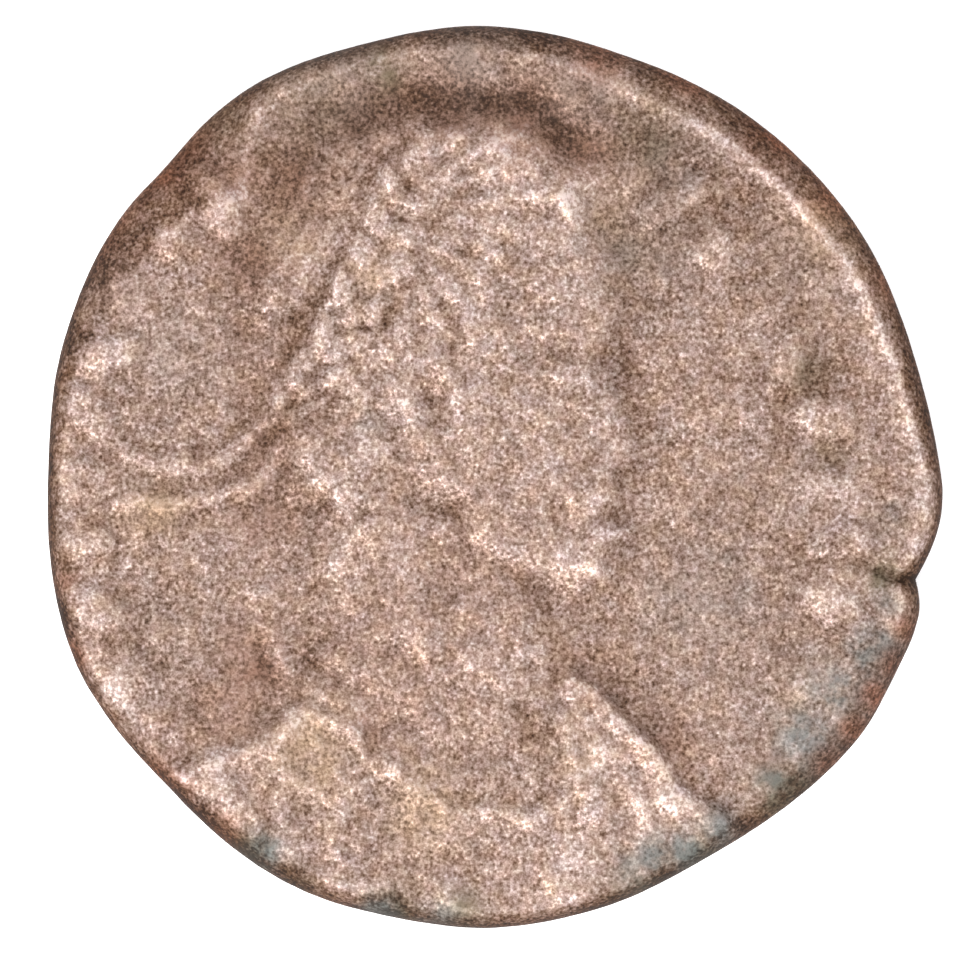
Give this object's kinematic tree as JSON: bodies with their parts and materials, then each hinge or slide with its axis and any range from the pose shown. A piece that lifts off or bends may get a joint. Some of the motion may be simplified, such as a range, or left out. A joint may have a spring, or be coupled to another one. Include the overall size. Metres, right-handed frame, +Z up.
{
  "type": "roman bronze coin",
  "caption": "Worn ancient struck bronze coin with an uneven rounded edge, a low-relief draped bust on one face and a standing robed figure on the other.",
  "frame": {"origin": "centre of the coin's outline box, on the surface that the coin lies on, reverse down", "axes": "+Z up out of the obverse, +X towards the side that the bust faces, +Y towards the top of the bust"},
  "size_m": [0.0258, 0.026, 0.0026],
  "materials": {
    "worn_bronze": "worn grainy bronze, pinkish tan on the high relief, red-brown in the hollows, dark brown edge, a few olive and blue-green patches of patina"
  },
  "bodies": {
    "root": {"coin": "worn_bronze"}
  },
  "joints": []
}
